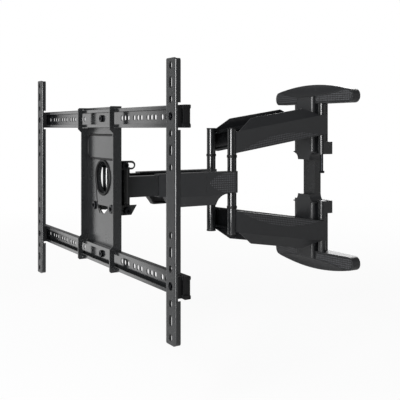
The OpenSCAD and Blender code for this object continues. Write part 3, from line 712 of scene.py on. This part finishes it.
class MOUNT_OT_fields(bpy.types.Operator):
    """Lay the gridded fields into the recesses of the arm covers, and lay a black bead along the
    cover seam as painted shade in the seam gap.
    """

    bl_idname = "mount.fields"
    bl_label = "Cover fields"

    def execute(self, context):
        sizes = context.scene.mount_sizes
        grid = gridded_abs_painted_sheen(context.scene.mount_colours, sizes.grid_pitch)
        nylon = moulded_nylon(context.scene.mount_colours)
        slope = math.atan2(ARM_RISE, sizes.arm_length)
        floor = sizes.pivot_x + RECESS_OUT
        elbow_y = -sizes.wall_gap - sizes.arm_length
        margin, thickness, rounding = 0.7 * MM, 0.3 * MM, 0.08 * MM
        seam_s = 66 * MM
        for side, side_name in SIDES:
            for level, level_name in LEVELS:

                def on_rear(along, up, out):
                    s = sizes.arm_length / 2 + along * math.cos(slope) + up * math.sin(slope)
                    z = FIELD_Z - along * math.sin(slope) + up * math.cos(slope)
                    return Vector((side * (floor + out), -sizes.wall_gap - s, level * z))

                name = f"rear_field_{level_name}_{side_name}"
                field = slab(name, field_outline(margin), on_rear, thickness, rounding)
                hang(field, f"rear_{side_name}", grid)

            def on_front(s, z, out):
                return Vector((side * (floor + out), elbow_y - s, z))

            name = f"front_field_{side_name}"
            field = slab(name, lens_outline(margin), on_front, thickness, rounding)
            hang(field, f"front_{side_name}", grid)
            # Painted shade: a black nylon bead stands for the dark gap of the seam between the
            # cover mouldings.
            seam = [on_front(seam_s, z * MM, 0.4 * MM) for z in (-16, -8, 0, 8, 16)]
            line = bead(f"cover_seam_shade_{side_name}", seam, 0.3 * MM, closed=False)
            hang(line, f"front_{side_name}", nylon)
        return {"FINISHED"}


class MOUNT_OT_bolts(bpy.types.Operator):
    """Set socket head bolts where the plain ones stand."""

    bl_idname = "mount.bolts"
    bl_label = "Socket bolts"

    def execute(self, context):
        oxide = black_oxide_steel(context.scene.mount_colours)
        # Radius and length in millimetres of the heads, the shanks and the flanges
        plain, flanged = (0, 0), (7.7, 1.0)
        rail_cut = (6.5, 4.0), (4.0, 4.5), plain
        plate_cut = (8.0, 3.0), (3.0, 5.5), plain
        bracket_cut = (6.0, 4.0), (4.0, 12.3), plain
        head_cut = (6.5, 5.0), (4.0, 7.7), flanged

        def on_rails(x, y):
            """Seats above and below the middle that look at the screen."""
            return [((x, y, z), (0, -1, 0)) for z in (RAIL_Z, -RAIL_Z)]

        def on_cheeks(y, z):
            """Seats on both cheeks of the tilting head that look outwards."""
            return [((side * 0.0523, y, z), (side, 0, 0)) for side, _ in SIDES]

        on_plate = [((side * 0.04, PLATE_Y, -0.039), (0, -1, 0)) for side, _ in SIDES]
        sets = [
            ("rail_bolts", "tv_frame", on_rails(0, -0.523), rail_cut),
            ("plate_bolts", "tv_frame", on_plate, plate_cut),
            ("bracket_bolts_right", "bracket_right", on_rails(0.3, -0.537), bracket_cut),
            ("bracket_bolts_left", "bracket_left", on_rails(-0.3, -0.537), bracket_cut),
            ("clamp_bolts", "head", on_cheeks(-0.50146, 0.04028), head_cut),
            ("tilt_bolts", "head", on_cheeks(-0.497, -0.042), head_cut),
        ]
        for node, body, seats, cut in sets:
            sizes = [tuple(value * MM for value in pair) for pair in cut]
            piece = socket_bolts(f"socket_{node}", seats, *sizes)
            hang(piece, body, oxide)
            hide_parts(node)
        return {"FINISHED"}


class MOUNT_OT_plate_shade_beads(bpy.types.Operator):
    """Lay black beads on the centre plate: painted shade round the pad and along the pressed line
    below the round hole, and a lip with painted shade round the round hole.
    """

    bl_idname = "mount.plate_trim"
    bl_label = "Plate trim"

    def execute(self, context):
        nylon = moulded_nylon(context.scene.mount_colours)
        pad_z, hole_z, hole_r = 72.5 * MM, 16 * MM, 31.4 * MM
        # Painted shade: a black nylon bead round the pad stands for the dark line at its pressed
        # edge.
        pad = [
            (x, PLATE_Y - 0.6 * MM, pad_z + z)
            for x, z in rounded_path(139 * MM, 44 * MM, 13 * MM)
        ]
        hang(bead("pad_edge_shade", pad, 2.2 * MM), "tv_frame", nylon)
        # The black bead round the hole is the hole's lip, made thick and black so that it also lays
        # painted shade round the hole.
        ring = []
        for step in range(48):
            angle = math.radians(7.5 * step)
            x, z = hole_r * math.cos(angle), hole_z + hole_r * math.sin(angle)
            ring.append((x, PLATE_Y - 0.4 * MM, z))
        hang(bead("hole_lip_shade", ring, 2.4 * MM), "tv_frame", nylon)
        # Painted shade: a thin black bead stands for the shade in the pressed line below the hole.
        pressed_shade_path = [(-32, 2), (-31, -12), (-29, -24), (-26, -34), (-21, -43), (-14, -51)]
        line = [(x * MM, PLATE_Y - 0.1 * MM, z * MM) for x, z in pressed_shade_path]
        hang(bead("pressed_line_shade", line, 0.8 * MM, closed=False), "tv_frame", nylon)
        return {"FINISHED"}


def aim(thing, target):
    """Turns a lamp or camera to look at a point."""
    thing.rotation_euler = (target - thing.location).to_track_quat("-Z", "Y").to_euler()


class MOUNT_OT_stage(bpy.types.Operator):
    """Set the pale floor, the studio lamps and the camera."""

    bl_idname = "mount.stage"
    bl_label = "Stage"

    def execute(self, context):
        scene = context.scene
        floor_z = solid_box[0].z - 0.12
        floor_mesh = bpy.data.meshes.new("studio_floor")
        side = 12.0
        corners = [(-side, -side), (side, -side), (side, side), (-side, side)]
        floor_mesh.from_pydata([(x, y, floor_z) for x, y in corners], [], [(0, 1, 2, 3)])
        floor = bpy.data.objects.new("studio_floor", floor_mesh)
        floor.data.materials.append(studio_paint(scene.mount_colours))
        scene.collection.objects.link(floor)

        world = bpy.data.worlds.new("studio")
        scene.world = world
        world.use_nodes = True
        tree = world.node_tree
        tree.nodes.clear()
        path = add_node(tree, "ShaderNodeLightPath")
        mirrored = add_node(
            tree,
            "ShaderNodeMath",
            {0: path.outputs["Is Glossy Ray"], 1: 0.15},
            operation="MULTIPLY",
        )
        camera_or_gloss = add_node(
            tree,
            "ShaderNodeMath",
            {0: path.outputs["Is Camera Ray"], 1: mirrored.outputs[0]},
            operation="MAXIMUM",
        )
        seen = add_node(
            tree,
            "ShaderNodeMath",
            {0: camera_or_gloss.outputs[0], 1: path.outputs["Is Transmission Ray"]},
            operation="MAXIMUM",
        )
        strength = add_node(
            tree,
            "ShaderNodeMapRange",
            {"Value": seen.outputs[0], "To Min": 0.1, "To Max": 1.0},
        )
        background = add_node(
            tree,
            "ShaderNodeBackground",
            {"Color": (1, 1, 1, 1), "Strength": strength.outputs["Result"]},
        )
        output = add_node(tree, "ShaderNodeOutputWorld")
        tree.links.new(background.outputs[0], output.inputs["Surface"])

        middle = Vector((0, -0.27, 0))
        plate_side = Vector((0.1, -0.45, 0))
        # Name, place, width, height and power of each lamp
        lamps = [
            ("front_panel", (-0.58, -0.8, 0.0), 0.26, 1.2, 1.5),
            ("tall_softbox", (0.9, -1.65, 0.3), 0.5, 1.8, 74.0),
            ("top_panel", (0.2, -0.5, 1.9), 1.4, 1.4, 3.0),
            ("back_panel", (-1.3, 1.5, 0.9), 1.2, 1.2, 24.0),
            ("side_panel", (1.35, 0.75, 0.1), 0.8, 1.3, 1.5),
        ]
        for name, place, width, height, power in lamps:
            light = bpy.data.lights.new(name, "AREA")
            light.shape = "RECTANGLE"
            light.size = width
            light.size_y = height
            light.energy = power
            lamp = bpy.data.objects.new(name, light)
            lamp.location = place
            aim(lamp, plate_side if name == "front_panel" else middle)
            scene.collection.objects.link(lamp)

        lens = bpy.data.cameras.new("photo_camera")
        lens.lens = 62.7
        lens.sensor_width = 36.0
        lens.shift_y = -0.181
        lens.dof.use_dof = False
        camera = bpy.data.objects.new("photo_camera", lens)
        camera.location = (1.1986, -1.0349, 0.1083)
        aim(camera, camera.location + Vector((-0.856, 0.517, 0)))
        scene.collection.objects.link(camera)
        scene.camera = camera
        scene.view_settings.view_transform = "Standard"
        return {"FINISHED"}


class MOUNT_PT_panel(bpy.types.Panel):
    """Lists the steps that dress the mount."""

    bl_idname = "MOUNT_PT_panel"
    bl_label = "Mount"
    bl_space_type = "VIEW_3D"
    bl_region_type = "UI"
    bl_category = "Mount"

    def draw(self, context):
        layout = self.layout
        for step in STEPS:
            layout.operator(step.bl_idname)
        for group in (context.scene.mount_sizes, context.scene.mount_colours):
            for name in group.__annotations__:
                layout.prop(group, name)


STEPS = (
    MOUNT_OT_steel,
    MOUNT_OT_gloss,
    MOUNT_OT_covers,
    MOUNT_OT_nylon,
    MOUNT_OT_fasteners,
    MOUNT_OT_lobes,
    MOUNT_OT_fields,
    MOUNT_OT_bolts,
    MOUNT_OT_plate_shade_beads,
    MOUNT_OT_stage,
)
GROUPS = (MountSizes, MountColours)


def register():
    """Makes the sizes, colours, steps and panel known to Blender."""
    for cls in (*GROUPS, *STEPS, MOUNT_PT_panel):
        bpy.utils.register_class(cls)
    bpy.types.Scene.mount_sizes = bpy.props.PointerProperty(type=MountSizes)
    bpy.types.Scene.mount_colours = bpy.props.PointerProperty(type=MountColours)


def unregister():
    """Takes them out again."""
    del bpy.types.Scene.mount_colours
    del bpy.types.Scene.mount_sizes
    for cls in reversed((*GROUPS, *STEPS, MOUNT_PT_panel)):
        bpy.utils.unregister_class(cls)


def main():
    """Registers the steps and runs each of them to dress the mount."""
    register()
    for step in STEPS:
        group, name = step.bl_idname.split(".")
        getattr(getattr(bpy.ops, group), name)()


if __name__ == "__main__":
    main()
